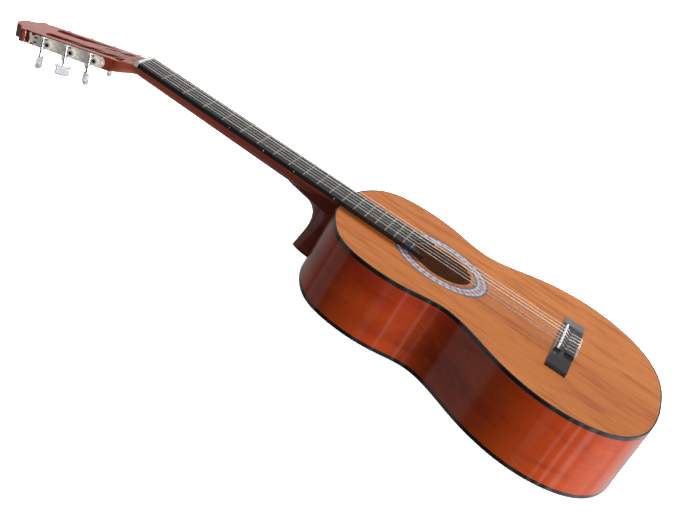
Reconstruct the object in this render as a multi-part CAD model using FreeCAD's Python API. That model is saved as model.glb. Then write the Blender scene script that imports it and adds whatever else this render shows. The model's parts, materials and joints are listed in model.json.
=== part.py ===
import FreeCAD, Part
import math
import os

# A classical (nylon-string) guitar with a slotted headstock and six worm-geared tuning machines.
#
# Everything is drawn in the guitar's own frame, in millimetres: X across the guitar (bass side
# negative), Y from the theoretical end of the string scale towards the head, Z up out of the
# soundboard, whose outer face is z = 0. The body is slightly shallower at the neck than at the
# tail, so each finished piece is tipped by that small angle and the guitar then lies with its flat
# back on the ground plane, centred over the origin.

os.makedirs("parts", exist_ok=True)
Vec = FreeCAD.Vector

# ---------------------------------------------------------------- driving dimensions
SCALE = 650.0                  # nut to theoretical scale end
FRETS = 19
HEAD_TILT = math.radians(15.0)

# Half of the body's plan: x, y and heading in degrees (0 = +X), from the tail to the neck.
PLAN = [
    (0.0, -161.5, 0.0),
    (54.0, -158.6, 7.0),
    (102.5, -147.5, 20.0),
    (154.1, -114.0, 47.5),
    (187.0, -26.0, 90.0),
    (162.7, 56.0, 118.5),
    (138.6, 94.0, 123.0),
    (122.6, 137.0, 90.0),
    (136.3, 184.0, 75.5),
    (142.5, 236.0, 90.0),
    (125.5, 286.0, 129.0),
    (88.0, 311.5, 154.0),
    (45.0, 324.0, 170.0),
    (0.0, 327.0, 180.0),
]
TAIL_Y = PLAN[0][1]
NECK_JOINT_Y = PLAN[-1][1]
WIDEST_Y = PLAN[4][1]          # where the tail and lower lengths of each side meet
WAIST_Y = PLAN[7][1]           # where the lower and upper lengths meet
DEPTH_TAIL = 101.0
DEPTH_NECK = 94.6

PLATE = 3.0                    # soundboard and back thickness
RIB = 3.2                      # side thickness
BINDING_WIDE = 2.0
BINDING_TALL = 5.2
LINING_WIDE = 5.8
LINING_TALL = 14.0
BACK_LINING_TALL = 12.0

HOLE_Y = 175.0
HOLE_R = 45.0
ROSETTE_IN = 51.0
ROSETTE_OUT = 71.0
ROSETTE_DEEP = 1.0

NUT_WIDTH = 49.7
FRET_12_WIDTH = 59.7
BOARD_TALL = 5.9
BOARD_END_R = 34.0             # hollow curve of the fingerboard's end
BOARD_END_Y = 185.0
FRET_R = 0.95
FRET_TALL = 0.9
TANG_WIDE = 0.6
TANG_DEEP = 1.9
NUT_LONG = 5.5
NUT_TALL = 8.5
DOT_FRETS = (5, 7, 9, 12)
DOT_R = 1.1
DOT_DEEP = 1.6

SADDLE_Y = -7.0
SADDLE_THICK = 3.0
SADDLE_HALF = 43.0
SADDLE_TOP = 12.0
SADDLE_SEAT = 3.5
BRIDGE_HALF = 92.0
BRIDGE_FRONT = -1.3
BRIDGE_REAR = -31.0
WING_TALL = 5.4
RIDGE_TALL = 8.6
RIDGE_REAR = -12.0
TIE_TALL = 9.4
TIE_FRONT = -18.2
TIE_HOLE_Z = 7.2
TIE_HOLE_ROOM = 0.2            # radial room of a string in its hole
SCOOP = 13.0                   # length of the scooped ends of the ridge and the tie block

STRING_R = (0.54, 0.45, 0.40, 0.50, 0.42, 0.36)
STRING_SPREAD_NUT = 43.0
STRING_SPREAD_SADDLE = 57.0
STRING_Z_NUT = 8.2

HEAD_FACE = -4.0               # head coordinate v of the face
HEAD_BACK = -21.5
HEAD_HALF = 31.0
HEAD_LONG = 192.0
SLOT_IN = 9.0
SLOT_OUT = 23.0
SLOT_START = 36.0
SLOT_END = 142.5
SLOT_RAMP = 25.0               # where the ramp that leads the strings into a slot starts
RAMP_DEEP = 9.0
MACHINE_PITCH = 35.0
ROLLER_S = (57.8, 57.8 + MACHINE_PITCH, 57.8 + 2 * MACHINE_PITCH)
AXIS_V = -13.4
ROLLER_R = 5.0
SPINDLE_R = 3.0
PIN_R = 2.0
PIN_DEEP = 4.0
RUNNING = 0.05                 # radial clearance of a turning fit
SLOT_GAP = 0.5

GEAR_TEETH = 14
WORM_OFFSET = 7.2              # centre distance of worm and gear
GEAR_PITCH_R = 4.95
GEAR_TIP_R = 5.6
GEAR_ROOT_R = 4.15
GEAR_THICK = 3.0
GEAR_SCREW_R = 2.5
GEAR_SCREW_TALL = 1.1
WORM_X = 36.0
WORM_LEAD = 2.0 * math.pi * GEAR_PITCH_R / GEAR_TEETH
WORM_TURNS = 5
WORM_TIP_R = 2.9
WORM_ROOT_R = 1.6
SHAFT_R = 1.5
SLEEVE_R = 2.1
PLATE_THICK = 1.2
PLATE_HALF = 8.05
PLATE_START = 45.0
PLATE_END = 158.5
LYRE_SLOT_V = 3.1
LYRE_SLOT_R = 1.3
WINDOW_HALF = 4.4              # the openings that the worm's ears were folded out of
WINDOW_NEAR = 4.0
WINDOW_FAR = 6.5
TAB_THICK = 1.1
TAB_HALF = 2.7
TAB_REACH = 38.9
BUTTON_TOP = -18.6             # button's upper end, from the machine axis along the head's normal
BUTTON_LONG = 15.0
BUTTON_WIDE = 20.5
BUTTON_THICK = 6.6
BUTTON_EDGE = 1.4              # bevel round the button's two faces
BUTTON_TURN = {"bass": (-58.0, 20.0, -70.0), "treble": (-66.0, -60.0, -72.0)}
SCREW_S = (48.8, 77.2, 111.5)
SCREW_R = 1.1
SCREW_IN = HEAD_HALF - 7.0     # how near the centreline the plate screws reach

BACK_SLOPE = math.atan((DEPTH_TAIL - DEPTH_NECK) / (NECK_JOINT_Y - TAIL_Y))
SIDES = {"bass": -1.0, "treble": 1.0}


# ---------------------------------------------------------------- helpers
def box(x0, x1, y0, y1, z0, z1):
    return Part.makeBox(x1 - x0, y1 - y0, z1 - z0, Vec(x0, y0, z0))


def cylinder(radius, start, end):
    along = end - start
    return Part.makeCylinder(radius, along.Length, start, along)


def line(a, b):
    return Part.LineSegment(a, b).toShape()


def arc(a, b, c):
    return Part.Arc(a, b, c).toShape()


def prism(points, direction):
    closed = list(points) + [points[0]]
    return Part.Face(Part.makePolygon(closed)).extrude(direction)


def fused(shapes):
    whole = shapes[0]
    if len(shapes) > 1:
        whole = shapes[0].fuse(shapes[1:])
    return whole.removeSplitter()


def placed(shape, origin, x_axis, y_axis, z_axis):
    matrix = FreeCAD.Matrix(
        x_axis.x, y_axis.x, z_axis.x, origin.x,
        x_axis.y, y_axis.y, z_axis.y, origin.y,
        x_axis.z, y_axis.z, z_axis.z, origin.z,
        0, 0, 0, 1)
    return shape.transformed(matrix)


def bent_tube(points, radius, bend):
    """Round rod through the points, with each corner turned on an arc of about the bend radius."""
    edges = []
    here = points[0]
    for before, corner, after in zip(points, points[1:], points[2:]):
        back = (before - corner).normalize()
        ahead = (after - corner).normalize()
        half = back.getAngle(ahead) / 2.0
        reach = min(bend / math.tan(half), 0.45 * min((before - corner).Length, (after - corner).Length))
        turn = reach * math.tan(half)
        inward = (back + ahead).normalize()
        start = corner + back * reach
        end = corner + ahead * reach
        middle = corner + inward * (turn / math.sin(half) - turn)
        if (start - here).Length > 1e-6:
            edges.append(line(here, start))
        edges.append(arc(start, middle, end))
        here = end
    edges.append(line(here, points[-1]))
    path = Part.Wire(edges)
    along = points[1] - points[0]
    circle = Part.Wire(Part.makeCircle(radius, points[0], along))
    return path.makePipeShell([circle], True, True)


# ---------------------------------------------------------------- the body's plan and back plane
def plan_wire(inset):
    """Closed curve of the body's plan, moved inwards by the inset."""
    right = []
    for x, y, heading in PLAN:
        turn = math.radians(heading)
        right.append(Vec(x - inset * math.sin(turn), y + inset * math.cos(turn), 0))
    left = [Vec(-point.x, point.y, 0) for point in reversed(right[1:-1])]
    curve = Part.BSplineCurve()
    curve.interpolate(Points=right + left, PeriodicFlag=True)
    return Part.Wire(curve.toShape())


def plan_face(inset, z):
    face = Part.Face(plan_wire(inset))
    face.translate(Vec(0, 0, z))
    return face


def below(offset):
    """Everything under a plane parallel to the back's outer face and this far above it."""
    reach = 600.0
    block = box(-reach, reach, -reach, reach, -reach, 0)
    block.rotate(Vec(0, 0, 0), Vec(1, 0, 0), math.degrees(BACK_SLOPE))
    drop = -DEPTH_TAIL - TAIL_Y * math.tan(BACK_SLOPE)
    block.translate(Vec(0, 0, drop + offset / math.cos(BACK_SLOPE)))
    return block


def body_block(inset, top, offset):
    """Solid within the plan, from height top down to the plane offset above the back's face."""
    return plan_face(inset, top).extrude(Vec(0, 0, -DEPTH_TAIL - 30.0)).cut(below(offset))


def body_ring(outer, inner, top, offset):
    return body_block(outer, top, offset).cut(body_block(inner, top + 1.0, offset - 1.0))


# ---------------------------------------------------------------- string layout
def string_x(index, spread):
    return spread * (index / 5.0 - 0.5)


def fret_y(number):
    return SCALE * 2.0 ** (-number / 12.0)


def board_half(y):
    return (NUT_WIDTH + (FRET_12_WIDTH - NUT_WIDTH) * (SCALE - y) / (SCALE / 2.0)) / 2.0


# ---------------------------------------------------------------- head coordinates
HEAD_U = Vec(0, math.cos(HEAD_TILT), -math.sin(HEAD_TILT))
HEAD_V = Vec(0, math.sin(HEAD_TILT), math.cos(HEAD_TILT))
HEAD_ORIGIN = Vec(0, SCALE, BOARD_TALL)
ACROSS = Vec(1, 0, 0)


def head_point(x, s, v):
    """Point on the head: x across, s along it from the nut, v out of its face."""
    return HEAD_ORIGIN + ACROSS * x + HEAD_U * s + HEAD_V * v


def head_box(x0, x1, s0, s1, v0, v1):
    return placed(box(x0, x1, s0, s1, v0, v1), HEAD_ORIGIN, ACROSS, HEAD_U, HEAD_V)


def head_cylinder(radius, x0, x1, s, v):
    return cylinder(radius, head_point(x0, s, v), head_point(x1, s, v))


# ---------------------------------------------------------------- body pieces
def make_soundboard():
    board = plan_face(BINDING_WIDE, 0).extrude(Vec(0, 0, -PLATE))
    hole = cylinder(HOLE_R, Vec(0, HOLE_Y, -PLATE - 1), Vec(0, HOLE_Y, 1))
    return board.cut([hole, make_rosette()])


def make_rosette():
    low = Vec(0, HOLE_Y, -ROSETTE_DEEP)
    ring = cylinder(ROSETTE_OUT, low, Vec(0, HOLE_Y, 0))
    return ring.cut(cylinder(ROSETTE_IN, low - Vec(0, 0, 1), Vec(0, HOLE_Y, 1)))


def make_back_plate():
    return body_block(BINDING_WIDE, -DEPTH_NECK / 2, 0).common(below(PLATE))


def make_top_binding():
    ring = plan_face(0, 0).cut(plan_face(BINDING_WIDE, 0))
    return ring.extrude(Vec(0, 0, -BINDING_TALL))


def make_back_binding():
    ring = body_ring(0, BINDING_WIDE, -DEPTH_NECK / 2, 0)
    return ring.common(below(BINDING_TALL))


def make_side(sign, start_y, end_y):
    """Length of one side between two stations along the guitar."""
    ring = body_ring(0, RIB, -PLATE, PLATE)
    trimmed = ring.cut([make_top_binding(), make_back_binding(), make_tenon()])
    reach = 300.0
    length = box(min(0, sign * reach), max(0, sign * reach), start_y, end_y, -reach, reach)
    return trimmed.common(length)


NECK_BLOCK = box(-45, 45, 288, 350, -200, 0)
TAIL_BLOCK = box(-40, 40, -180, -140, -200, 0)


def make_neck_block():
    return body_block(RIB, -PLATE, PLATE).common(NECK_BLOCK).cut(make_tenon())


def make_tail_block():
    return body_block(RIB, -PLATE, PLATE).common(TAIL_BLOCK)


def make_linings():
    ring = body_ring(RIB, RIB + LINING_WIDE, -PLATE, PLATE).cut([NECK_BLOCK, TAIL_BLOCK])
    top = ring.common(box(-300, 300, -300, 600, -PLATE - LINING_TALL, 0))
    back = ring.common(below(PLATE + BACK_LINING_TALL))
    return Part.makeCompound(top.Solids + back.Solids)


BAR_INSET = RIB + LINING_WIDE + 0.3
PATCH_THICK = 2.0


def make_top_braces():
    inside = body_block(BAR_INSET, -PLATE, PLATE)
    bar_wide = 8.0
    bar_tall = 14.0
    pieces = []
    for y in (HOLE_Y - 62.0, HOLE_Y + 58.0):
        bar = box(-200, 200, y - bar_wide / 2, y + bar_wide / 2, -PLATE - bar_tall, -PLATE)
        pieces.append(bar.common(inside))
    fan_wide = 6.0
    fan_tall = 6.5
    start_y = HOLE_Y - 68.0
    length = 236.0
    for place in (-2, -1, 0, 1, 2):
        fan = box(-fan_wide / 2, fan_wide / 2, -length, 0, -PLATE - fan_tall, -PLATE)
        fan.rotate(Vec(0, 0, 0), Vec(0, 0, 1), 7.0 * place)
        fan.translate(Vec(34.0 * place, start_y - 3.0 * abs(place), 0))
        pieces.append(fan.common(inside).cut(make_bridge_patch()))
    return Part.makeCompound(pieces)


def make_bridge_patch():
    return box(-BRIDGE_HALF, BRIDGE_HALF, BRIDGE_REAR - 3, BRIDGE_FRONT + 3, -PLATE - PATCH_THICK, -PLATE)


BACK_BAR_Y = (236.0, 98.0, -42.0)
BACK_BAR_WIDE = 8.0
BACK_BAR_TALL = 13.0


def make_back_braces():
    inside = body_block(BAR_INSET, -DEPTH_NECK / 2, PLATE).common(below(PLATE + BACK_BAR_TALL))
    bars = []
    for y in BACK_BAR_Y:
        bar = box(-200, 200, y - BACK_BAR_WIDE / 2, y + BACK_BAR_WIDE / 2, -200, 0)
        bars.append(bar.common(inside))
    return Part.makeCompound(bars)


def make_back_seam_strip():
    strip_wide = 18.0
    strip_thick = 2.0
    inside = body_block(BAR_INSET, -DEPTH_NECK / 2, PLATE).common(below(PLATE + strip_thick))
    strip = inside.common(box(-strip_wide / 2, strip_wide / 2, -300, 600, -200, 0))
    cleared = strip.cut([NECK_BLOCK, TAIL_BLOCK] + make_back_braces().Solids)
    return Part.makeCompound(cleared.Solids)


# ---------------------------------------------------------------- bridge, saddle
def scooped_bar(half, y0, y1, top):
    """Bar across the bridge whose ends sweep down in a hollow curve to the wing."""
    outer = half + SCOOP
    base = WING_TALL - 1.0
    drop = top - WING_TALL

    def corner(sign):
        a = Vec(sign * half, y0, top)
        b = Vec(sign * (half + 0.3 * SCOOP), y0, WING_TALL + 0.30 * drop)
        c = Vec(sign * outer, y0, WING_TALL)
        return a, b, c

    right = corner(1.0)
    left = corner(-1.0)
    edges = [
        line(left[0], right[0]),
        arc(*right),
        line(right[2], Vec(outer, y0, base)),
        line(Vec(outer, y0, base), Vec(-outer, y0, base)),
        line(Vec(-outer, y0, base), left[2]),
        arc(left[2], left[1], left[0]),
    ]
    return Part.Face(Part.Wire(edges)).extrude(Vec(0, y1 - y0, 0))


def make_bridge():
    end_tall = 1.4
    bevel = 5.0
    shoulder = SADDLE_HALF + SCOOP + 4.0
    tip_tall = 3.4
    profile = [
        Vec(-BRIDGE_HALF, BRIDGE_REAR, 0),
        Vec(-BRIDGE_HALF, BRIDGE_REAR, end_tall),
        Vec(-BRIDGE_HALF + bevel, BRIDGE_REAR, tip_tall),
        Vec(-shoulder, BRIDGE_REAR, WING_TALL),
        Vec(shoulder, BRIDGE_REAR, WING_TALL),
        Vec(BRIDGE_HALF - bevel, BRIDGE_REAR, tip_tall),
        Vec(BRIDGE_HALF, BRIDGE_REAR, end_tall),
        Vec(BRIDGE_HALF, BRIDGE_REAR, 0),
    ]
    wings = prism(profile, Vec(0, BRIDGE_FRONT - BRIDGE_REAR, 0))
    ridge = scooped_bar(SADDLE_HALF, BRIDGE_FRONT, RIDGE_REAR, RIDGE_TALL)
    tie = scooped_bar(SADDLE_HALF - 2.0, TIE_FRONT, BRIDGE_REAR, TIE_TALL)
    whole = fused([wings, ridge, tie])
    # The ridge's front face leans back from the soundboard to its top.
    lean = prism([
        Vec(-200, BRIDGE_FRONT + 1, 2.6),
        Vec(-200, BRIDGE_FRONT - 2.6, RIDGE_TALL + 1),
        Vec(-200, BRIDGE_FRONT + 1, RIDGE_TALL + 1),
    ], Vec(400, 0, 0))
    cuts = [lean, make_saddle_blank()]
    for index in range(6):
        x = string_x(index, STRING_SPREAD_SADDLE)
        start = Vec(x, BRIDGE_REAR - 1, TIE_HOLE_Z)
        end = Vec(x, TIE_FRONT + 1, TIE_HOLE_Z)
        cuts.append(cylinder(STRING_R[index] + TIE_HOLE_ROOM, start, end))
    whole = whole.cut(cuts)
    edges = []
    for edge in whole.Edges:
        middle = edge.CenterOfMass
        on_tie_top = abs(middle.z - TIE_TALL) < 0.01 and edge.BoundBox.XLength > 2 * SADDLE_HALF - 10
        if on_tie_top:
            edges.append(edge)
    return whole.makeFillet(1.2, edges)


def make_saddle_blank():
    y0 = SADDLE_Y - SADDLE_THICK / 2
    y1 = SADDLE_Y + SADDLE_THICK / 2
    return box(-SADDLE_HALF, SADDLE_HALF, y0, y1, SADDLE_SEAT, SADDLE_TOP)


def make_saddle():
    crown_r = SADDLE_THICK / 2
    y0 = SADDLE_Y - crown_r
    y1 = SADDLE_Y + crown_r
    top = SADDLE_TOP - crown_r
    x = -SADDLE_HALF
    edges = [
        line(Vec(x, y0, SADDLE_SEAT), Vec(x, y1, SADDLE_SEAT)),
        line(Vec(x, y1, SADDLE_SEAT), Vec(x, y1, top)),
        arc(Vec(x, y1, top), Vec(x, SADDLE_Y, SADDLE_TOP), Vec(x, y0, top)),
        line(Vec(x, y0, top), Vec(x, y0, SADDLE_SEAT)),
    ]
    return Part.Face(Part.Wire(edges)).extrude(Vec(2 * SADDLE_HALF, 0, 0))


# ---------------------------------------------------------------- neck and head
def belly_section(origin, down, half, depth, fullness):
    """Closed section: a flat top 2 * half wide over a rounded belly of the given depth."""
    count = 16
    points = []
    for step in range(count + 1):
        angle = math.pi * step / count
        across = math.copysign(abs(math.cos(angle)) ** (2.0 / fullness), math.cos(angle))
        sag = abs(math.sin(angle)) ** (2.0 / fullness)
        points.append(origin + ACROSS * (half * across) + down * (depth * sag))
    curve = Part.BSplineCurve()
    curve.interpolate(Points=points)
    return Part.Wire([curve.toShape(), line(points[-1], points[0])])


def heel_section(z, half, tip_y):
    """Closed level section of the heel: flat against the body, rounded towards the head."""
    count = 12
    root_y = NECK_JOINT_Y - 8.0
    points = []
    for step in range(count + 1):
        angle = math.pi * step / count
        reach = math.sin(angle) ** 0.9
        points.append(Vec(half * math.cos(angle), root_y + (tip_y - root_y) * reach, z))
    curve = Part.BSplineCurve()
    curve.interpolate(Points=points)
    return Part.Wire([curve.toShape(), line(points[-1], points[0])])


def make_heel_full():
    # height, half width and reach towards the head of the heel's level sections
    levels = [
        (-8.0, 29.0, 425.0),
        (-20.0, 27.5, 400.0),
        (-27.0, 25.0, 368.0),
        (-38.0, 21.0, 356.0),
        (-54.0, 17.0, 351.5),
        (-74.0, 14.0, 353.0),
        (-100.0, 12.5, 357.0),
    ]
    return Part.makeLoft([heel_section(*level) for level in levels], True)


CAP_THICK = 2.5


def make_tenon():
    return box(-11, 11, NECK_JOINT_Y - 24, NECK_JOINT_Y + 6, -78, -9)


def make_neck():
    down = Vec(0, 0, -1)
    stations = [
        (NECK_JOINT_Y - 8.0, 20.5),
        (SCALE / 2.0 + 90.0, 19.0),
        (SCALE, 14.6),
    ]
    sections = []
    for y, depth in stations:
        sections.append(belly_section(Vec(0, y, 0), down, board_half(y), depth, 2.2))
    shaft = Part.makeLoft(sections, True)
    blank = fused([shaft, make_heel_full()])
    trimmed = blank.cut([body_block(0, 5.0, -40.0), below(CAP_THICK), box(-60, 60, 300, 700, 0, 40)])
    return fused([trimmed, make_tenon()])


def make_heel_cap():
    cap = make_heel_full().common(below(CAP_THICK))
    return cap.cut([below(0), body_block(0, 5.0, -40.0)])


def head_outline():
    """Plan of the head beyond the flare, with a stepped and rounded crest."""
    def p(x, s):
        return head_point(x, s, HEAD_FACE)

    def half(sign):
        return [
            line(p(sign * HEAD_HALF, SLOT_START), p(sign * HEAD_HALF, 160.0)),
            arc(p(sign * HEAD_HALF, 160.0), p(sign * 28.7, 163.0), p(sign * HEAD_HALF, 166.0)),
            arc(p(sign * HEAD_HALF, 166.0), p(sign * 31.7, 171.0), p(sign * 28.8, 174.3)),
            arc(p(sign * 28.8, 174.3), p(sign * 21.4, 176.6), p(sign * 16.8, 182.8)),
            arc(p(sign * 16.8, 182.8), p(sign * 14.4, 187.2), p(sign * 9.8, 189.8)),
        ]

    base = [line(p(-HEAD_HALF, SLOT_START), p(HEAD_HALF, SLOT_START))]
    crest = [arc(p(9.8, 189.8), p(0, HEAD_LONG), p(-9.8, 189.8))]
    return Part.Wire(Part.__sortEdges__(base + half(1.0) + crest + half(-1.0)))


def make_headstock():
    thick = HEAD_FACE - HEAD_BACK
    block = Part.Face(head_outline()).extrude(HEAD_V * -thick)
    down = Vec(0, 0, -1)
    slanted = HEAD_V * -1.0
    between = (down + slanted).normalize()
    sections = [
        belly_section(Vec(0, SCALE, 0), down, board_half(SCALE), 14.6, 2.2),
        belly_section(head_point(0, 11.0, HEAD_FACE), between, 25.6, 16.4, 2.9),
        belly_section(head_point(0, 24.0, HEAD_FACE), slanted, 29.2, 17.3, 5.0),
        belly_section(head_point(0, SLOT_START, HEAD_FACE), slanted, HEAD_HALF, thick, 12.0),
    ]
    flare = Part.makeLoft(sections, True)
    whole = fused([block, flare])
    cuts = [box(-40, 40, SCALE - 20, SCALE + NUT_LONG, 0, 40)]
    end_r = (SLOT_OUT - SLOT_IN) / 2
    low = HEAD_BACK - 1
    high = HEAD_FACE + 1
    for sign in SIDES.values():
        inner, outer = sorted((sign * SLOT_IN, sign * SLOT_OUT))
        cuts.append(head_box(inner, outer, SLOT_START + end_r, SLOT_END - end_r, low, high))
        middle = sign * (SLOT_IN + SLOT_OUT) / 2
        for s in (SLOT_START + end_r, SLOT_END - end_r):
            cuts.append(cylinder(end_r, head_point(middle, s, low), head_point(middle, s, high)))
        ramp = [
            head_point(inner, SLOT_RAMP, HEAD_FACE + 0.01),
            head_point(inner, SLOT_START + end_r, HEAD_FACE + 0.01),
            head_point(inner, SLOT_START + end_r, HEAD_FACE - RAMP_DEEP),
        ]
        cuts.append(prism(ramp, ACROSS * (outer - inner)))
        rail_out = sign * (HEAD_HALF + 1)
        web_in = sign * (SLOT_IN - PIN_DEEP)
        for s in ROLLER_S:
            cuts.append(head_cylinder(SPINDLE_R + RUNNING, sign * (SLOT_OUT - 1), rail_out, s, AXIS_V))
            cuts.append(head_cylinder(PIN_R + RUNNING, web_in, sign * (SLOT_IN + 1), s, AXIS_V))
        for s in SCREW_S:
            cuts.append(head_cylinder(SCREW_R, sign * SCREW_IN, rail_out, s, AXIS_V))
    return whole.cut(cuts)


# ---------------------------------------------------------------- fingerboard, frets, nut
def make_fingerboard():
    end_y = HOLE_Y + 20.0
    corners = [
        Vec(-board_half(end_y), end_y, 0),
        Vec(board_half(end_y), end_y, 0),
        Vec(board_half(SCALE), SCALE, 0),
        Vec(-board_half(SCALE), SCALE, 0),
    ]
    board = prism(corners, Vec(0, 0, BOARD_TALL))
    cuts = [cylinder(BOARD_END_R, Vec(0, BOARD_END_Y, -5), Vec(0, BOARD_END_Y, 20))]
    half = TANG_WIDE / 2
    for number in range(1, FRETS + 1):
        y = fret_y(number)
        cuts.append(box(-40, 40, y - half, y + half, BOARD_TALL - TANG_DEEP, BOARD_TALL + 1))
    cuts.extend(make_side_dots().Solids)
    return board.cut(cuts)


def make_frets():
    inset = 0.35
    frets = []
    hollow = cylinder(BOARD_END_R + 0.6, Vec(0, BOARD_END_Y, -5), Vec(0, BOARD_END_Y, 20))
    for number in range(1, FRETS + 1):
        y = fret_y(number)
        half = board_half(y) - inset
        middle = Vec(0, y, BOARD_TALL - FRET_R + FRET_TALL)
        crown = cylinder(FRET_R, middle - Vec(half, 0, 0), middle + Vec(half, 0, 0))
        crown = crown.common(box(-40, 40, y - 3, y + 3, BOARD_TALL, BOARD_TALL + 3))
        y0 = y - TANG_WIDE / 2
        y1 = y + TANG_WIDE / 2
        tang = box(-half, half, y0, y1, BOARD_TALL - TANG_DEEP, BOARD_TALL + 0.2)
        fret = fused([crown, tang])
        if number == FRETS:
            fret = fret.cut(hollow)
        frets.extend(fret.Solids)
    return Part.makeCompound(frets)


def make_side_dots():
    dots = []
    for number in DOT_FRETS:
        y = (fret_y(number) + fret_y(number - 1)) / 2
        edge = -board_half(y)
        dots.append(cylinder(DOT_R, Vec(edge, y, BOARD_TALL / 2), Vec(edge + DOT_DEEP, y, BOARD_TALL / 2)))
    return Part.makeCompound(dots)


def make_nut():
    half = NUT_WIDTH / 2
    y0 = SCALE
    y1 = SCALE + NUT_LONG
    x = -half
    edges = [
        line(Vec(x, y0, 0), Vec(x, y0, NUT_TALL - 0.4)),
        arc(Vec(x, y0, NUT_TALL - 0.4), Vec(x, y0 + 1.4, NUT_TALL), Vec(x, y0 + 3.0, NUT_TALL - 0.5)),
        line(Vec(x, y0 + 3.0, NUT_TALL - 0.5), Vec(x, y1, NUT_TALL - 2.4)),
        line(Vec(x, y1, NUT_TALL - 2.4), Vec(x, y1, 0)),
        line(Vec(x, y1, 0), Vec(x, y0, 0)),
    ]
    blank = Part.Face(Part.Wire(edges)).extrude(Vec(2 * half, 0, 0))
    grooves = []
    for index in range(6):
        route = string_route(index)
        radius = STRING_R[index] + 0.06
        low, top, high = route[-3], route[-2], route[-1]
        before = top + (low - top).normalize() * 8
        after = top + (high - top).normalize() * 8
        grooves.append(cylinder(radius, before, top))
        grooves.append(cylinder(radius, top, after))
        grooves.append(Part.makeSphere(radius, top))
    return blank.cut(grooves)


# ---------------------------------------------------------------- strings
ROLLER_X = (19.0, 16.0, 14.0)  # where each machine's string meets its roller, from the centreline


def machine_of(index):
    """Side and place from the nut of the machine that holds this string."""
    if index < 3:
        return "bass", index
    return "treble", 5 - index


def string_route(index):
    """Corner points of a string: tie block, saddle, nut and roller."""
    radius = STRING_R[index]
    x_saddle = string_x(index, STRING_SPREAD_SADDLE)
    x_nut = string_x(index, STRING_SPREAD_NUT)
    side, place = machine_of(index)
    over = TIE_TALL + radius + 0.05
    behind = BRIDGE_REAR - 1.6 - radius
    ahead = TIE_FRONT + 0.7 + radius
    end = head_point(SIDES[side] * ROLLER_X[place], ROLLER_S[place], AXIS_V + ROLLER_R + 0.3 + radius)
    return [
        Vec(x_saddle - 2.6, ahead, TIE_HOLE_Z + 1.3),
        Vec(x_saddle - 2.6, ahead, over),
        Vec(x_saddle, behind, over),
        Vec(x_saddle, behind, TIE_HOLE_Z),
        Vec(x_saddle, TIE_FRONT + 0.4, TIE_HOLE_Z),
        Vec(x_saddle, SADDLE_Y, SADDLE_TOP + radius),
        Vec(x_nut, SCALE + 1.4, STRING_Z_NUT),
        end,
    ]


def make_string(index):
    radius = STRING_R[index]
    route = string_route(index)
    main = bent_tube(route, radius, 1.3)
    tail_x = string_x(index, STRING_SPREAD_SADDLE)
    tail_y = BRIDGE_REAR - 0.1 - radius
    tail_z = TIE_TALL - 0.9
    pitch = STRING_SPREAD_SADDLE / 5.0
    tail = cylinder(radius, Vec(tail_x - pitch + 1.6, tail_y, tail_z), Vec(tail_x - 1.6, tail_y, tail_z))
    return Part.makeCompound([main, tail])


# ---------------------------------------------------------------- tuning machines
def plate_point(x, s, v):
    return head_point(x, s, AXIS_V + v)


def plate_outline(x):
    """Edge of the bearing plate: round at the nut end, lyre-shaped at the tip end."""
    h = PLATE_HALF

    def p(s, v):
        return plate_point(x, s, v)

    def half(sign):
        return [
            arc(p(PLATE_START, 0), p(PLATE_START + 2.2, sign * 5.4), p(51.0, sign * h)),
            arc(p(51.0, sign * h), p(52.2, sign * (h - 1.3)), p(53.4, sign * h)),
            line(p(53.4, sign * h), p(140.6, sign * h)),
            arc(p(140.6, sign * h), p(141.9, sign * 6.6), p(143.6, sign * 6.5)),
            arc(p(143.6, sign * 6.5), p(147.2, sign * 7.4), p(150.8, sign * 5.7)),
            arc(p(150.8, sign * 5.7), p(153.6, sign * 4.6), p(156.0, sign * 5.8)),
            arc(p(156.0, sign * 5.8), p(157.8, sign * 7.6), p(PLATE_END, sign * 6.4)),
            arc(p(PLATE_END, sign * 6.4), p(157.6, sign * 3.0), p(156.4, 0)),
        ]

    return Part.Wire(Part.__sortEdges__(half(1.0) + half(-1.0)))


def oblong(x, s0, s1, v, radius, depth):
    """Round-ended slot through a plate, running along the head."""
    bar = box(0, depth, s0, s1, v - radius, v + radius)
    bar = placed(bar, plate_point(x, 0, 0), ACROSS, HEAD_U, HEAD_V)
    ends = []
    for s in (s0, s1):
        ends.append(cylinder(radius, plate_point(x, s, v), plate_point(x + depth, s, v)))
    return fused([bar] + ends)


def make_plate(side):
    sign = SIDES[side]
    inner = sign * HEAD_HALF
    low = min(inner, inner + sign * PLATE_THICK)
    sheet = Part.Face(plate_outline(inner)).extrude(ACROSS * (sign * PLATE_THICK))
    x0 = low - 1
    x1 = low + PLATE_THICK + 1
    cuts = []
    for v in (-LYRE_SLOT_V, LYRE_SLOT_V):
        cuts.append(oblong(x0, 147.0, 150.8, v, LYRE_SLOT_R, PLATE_THICK + 2))
    tabs = []
    for s in ROLLER_S:
        worm_s = s + WORM_OFFSET
        cuts.append(head_cylinder(SPINDLE_R + RUNNING, x0, x1, s, AXIS_V))
        for end in (-1.0, 1.0):
            near, far = sorted((end * WINDOW_NEAR, end * WINDOW_FAR))
            window = box(x0, x1, worm_s - WINDOW_HALF, worm_s + WINDOW_HALF, near, far)
            cuts.append(placed(window, plate_point(0, 0, 0), ACROSS, HEAD_U, HEAD_V))
            tabs.append(make_tab(sign, worm_s, end))
    for s in SCREW_S:
        cuts.append(head_cylinder(SCREW_R + 0.1, x0, x1, s, AXIS_V))
    return fused([sheet.cut(cuts)] + tabs)


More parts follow.
